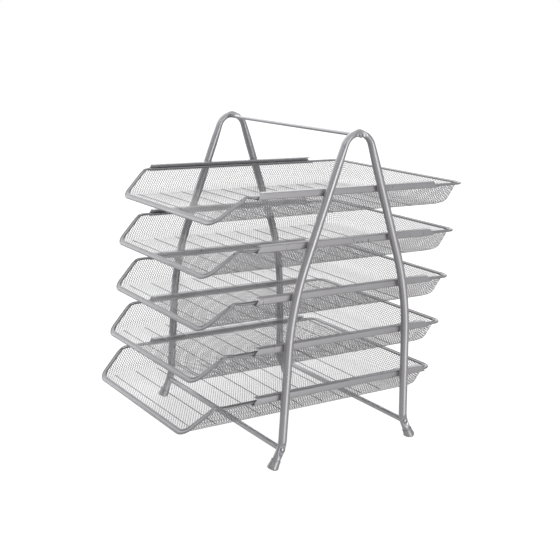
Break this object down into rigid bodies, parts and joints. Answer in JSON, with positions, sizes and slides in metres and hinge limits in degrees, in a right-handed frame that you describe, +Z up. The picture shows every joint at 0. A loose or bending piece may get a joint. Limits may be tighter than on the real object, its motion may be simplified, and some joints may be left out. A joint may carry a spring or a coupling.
{
  "type": "desktop file sorter",
  "caption": "Desktop file sorter: wire-mesh letter trays with sloping open fronts, sliding in rails on a bent-tube stand with a carrying bar.",
  "frame": {"origin": "on the desk, at the centre of the bounding box's base, with the trays in their rest places", "axes": "+Z up; +X to the right across the width, seen from the front; the trays' open fronts face -Y"},
  "size_m": [0.2958, 0.3904, 0.3911],
  "materials": {
    "frame_paint": "satin",
    "rail_paint": "satin",
    "rim_paint": "satin",
    "mesh_paint": "satin",
    "foot_plastic": "matte",
    "screw_steel": "satin"
  },
  "bodies": {
    "stand": {"left_side_frame": "frame_paint", "left_rail_1": "rail_paint", "left_rail_2": "rail_paint", "left_rail_3": "rail_paint", "left_rail_4": "rail_paint", "left_rail_5": "rail_paint", "front_left_foot_cap": "foot_plastic", "rear_left_foot_cap": "foot_plastic", "right_side_frame": "frame_paint", "right_rail_1": "rail_paint", "right_rail_2": "rail_paint", "right_rail_3": "rail_paint", "right_rail_4": "rail_paint", "right_rail_5": "rail_paint", "front_right_foot_cap": "foot_plastic", "rear_right_foot_cap": "foot_plastic", "front_crossbar": "frame_paint", "rear_crossbar": "frame_paint", "top_handle_bar": "frame_paint", "crossbar_screws": "screw_steel", "handle_screws": "screw_steel"},
    "tray_1": {"tray_1_mesh_basket": "mesh_paint", "tray_1_rim": "rim_paint"},
    "tray_2": {"tray_2_mesh_basket": "mesh_paint", "tray_2_rim": "rim_paint"},
    "tray_3": {"tray_3_mesh_basket": "mesh_paint", "tray_3_rim": "rim_paint"},
    "tray_4": {"tray_4_mesh_basket": "mesh_paint", "tray_4_rim": "rim_paint"},
    "tray_5": {"tray_5_mesh_basket": "mesh_paint", "tray_5_rim": "rim_paint"}
  },
  "joints": [
    {"name": "tray_1_slide", "type": "slide", "parent": "stand", "child": "tray_1", "axis": [0, -1, 0], "range_m": [-0.007, 0.2]},
    {"name": "tray_2_slide", "type": "slide", "parent": "stand", "child": "tray_2", "axis": [0, -1, 0], "range_m": [-0.015, 0.2]},
    {"name": "tray_3_slide", "type": "slide", "parent": "stand", "child": "tray_3", "axis": [0, -1, 0], "range_m": [-0.02, 0.2]},
    {"name": "tray_4_slide", "type": "slide", "parent": "stand", "child": "tray_4", "axis": [0, -1, 0], "range_m": [-0.029, 0.2]},
    {"name": "tray_5_slide", "type": "slide", "parent": "stand", "child": "tray_5", "axis": [0, -1, 0], "range_m": [-0.041, 0.2]}
  ]
}
